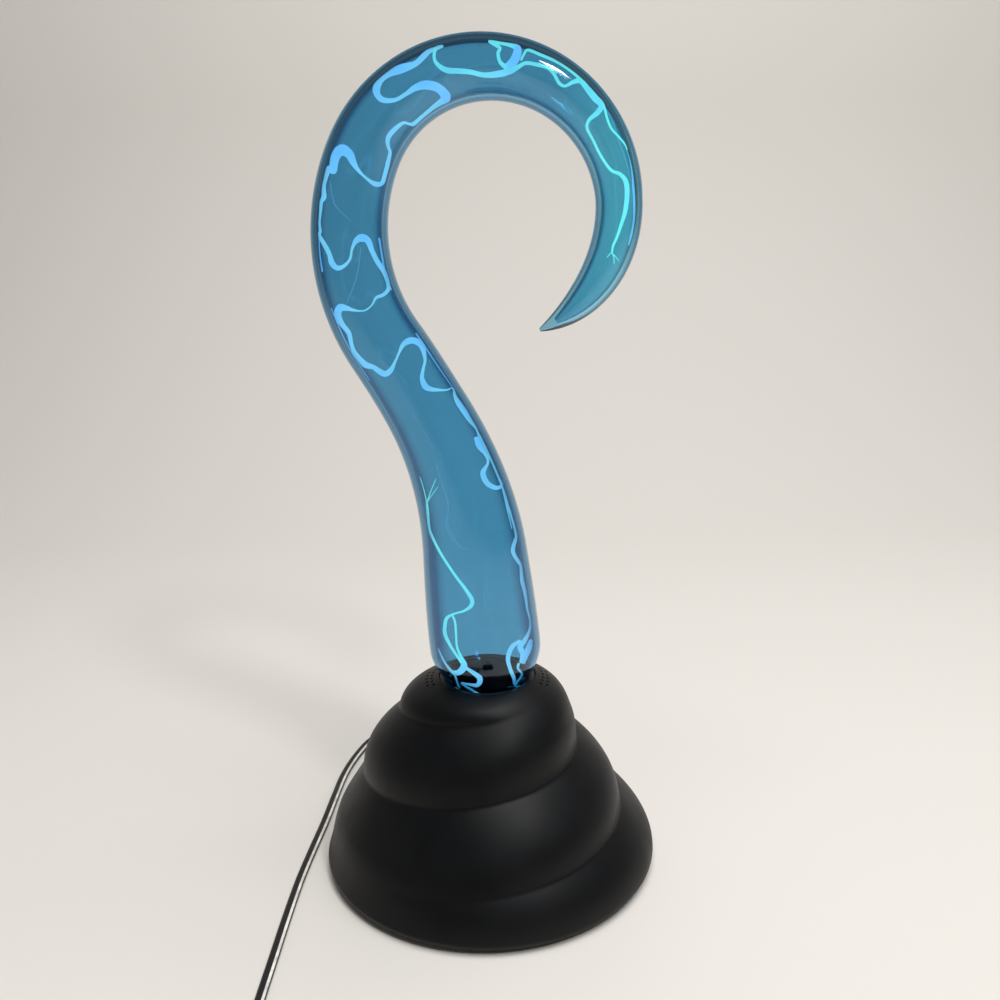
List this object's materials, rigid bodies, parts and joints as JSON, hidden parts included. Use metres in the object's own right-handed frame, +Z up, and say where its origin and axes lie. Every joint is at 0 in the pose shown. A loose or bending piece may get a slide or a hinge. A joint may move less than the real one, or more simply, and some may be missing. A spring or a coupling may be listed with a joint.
{
  "type": "plasma lamp",
  "caption": "Table plasma lamp: a hollow tinted glass hook with a fine tip stands in a black spiral base, with rear switch and knob, a twin lead and a wall adapter.",
  "frame": {"origin": "on the table, under the centre of the base", "axes": "+Z up, -Y to the front as pictured, +X to the right of the front view"},
  "size_m": [0.1909, 0.3652, 0.4097],
  "materials": {
    "tinted_glass": "clear blue tint",
    "collar_plastic": "satin",
    "black_moulding": "satin moulded",
    "gasket_rubber": "matte",
    "foot_rubber": "matte",
    "socket_plastic": "moulded",
    "screw_steel": "plated",
    "electrode_steel": "plain",
    "white_ceramic": "fired ceramic",
    "red_wire": "smooth sleeve",
    "board_green": "lacquered laminate",
    "ferrite": "sintered",
    "bobbin_plastic": "moulded",
    "copper_winding": "enamelled copper wire",
    "black_package": "moulded",
    "sink_aluminium": "extruded",
    "capacitor_sleeve": "shrunk sleeve",
    "resistor_body": "lacquered",
    "mic_can": "drawn can",
    "pot_case": "pressed",
    "knob_plastic": "satin",
    "switch_case": "pressed",
    "slider_plastic": "moulded",
    "jack_plastic": "moulded",
    "lead_pvc": "extruded, one white stripe",
    "tie_plastic": "satin strip",
    "adapter_plastic": "spark texture",
    "blade_brass": "nickel plated",
    "lamination": "varnished"
  },
  "bodies": {
    "lamp": {"glass_tube": "tinted_glass", "collar_ring": "collar_plastic", "base_shell": "black_moulding", "base_plate": "black_moulding", "control_panel": "black_moulding", "glass_gasket": "gasket_rubber", "glass_pad": "gasket_rubber", "rubber_feet": "foot_rubber", "socket_cup": "socket_plastic", "socket_screws": "screw_steel", "plate_screws": "screw_steel", "panel_screws": "screw_steel", "board_screws": "screw_steel", "pot_nut": "screw_steel", "jack_nut": "screw_steel", "electrode_cup": "electrode_steel", "electrode_pin": "electrode_steel", "ceramic_bead": "white_ceramic", "hv_lead": "red_wire", "jack_wires": "red_wire", "circuit_board": "board_green", "ferrite_core": "ferrite", "winding_bobbin": "bobbin_plastic", "hv_winding": "copper_winding", "power_transistor": "black_package", "heat_sink": "sink_aluminium", "capacitors": "capacitor_sleeve", "resistors": "resistor_body", "microphone": "mic_can", "pot_body": "pot_case", "switch_body": "switch_case", "dc_jack": "jack_plastic", "dc_plug": "lead_pvc", "plug_strain_relief": "lead_pvc", "lead_run": "lead_pvc", "lead_coil": "lead_pvc", "lead_tail": "lead_pvc", "adapter_strain_relief": "lead_pvc", "coil_tie": "tie_plastic", "adapter_case": "adapter_plastic", "adapter_cover": "adapter_plastic", "adapter_blades": "blade_brass", "adapter_transformer": "lamination"},
    "slider": {"switch_slider": "slider_plastic"},
    "knob": {"sensitivity_knob": "knob_plastic", "pot_shaft": "screw_steel"}
  },
  "joints": [
    {"name": "switch_slide", "type": "slide", "parent": "lamp", "child": "slider", "axis": [1, 0, 0], "range_m": [0, 0.004]},
    {"name": "knob_turn", "type": "hinge", "parent": "lamp", "child": "knob", "pos_m": [0.018, 0.066, 0.02], "axis": [0, 1, 0], "range_deg": [-140, 140]}
  ]
}
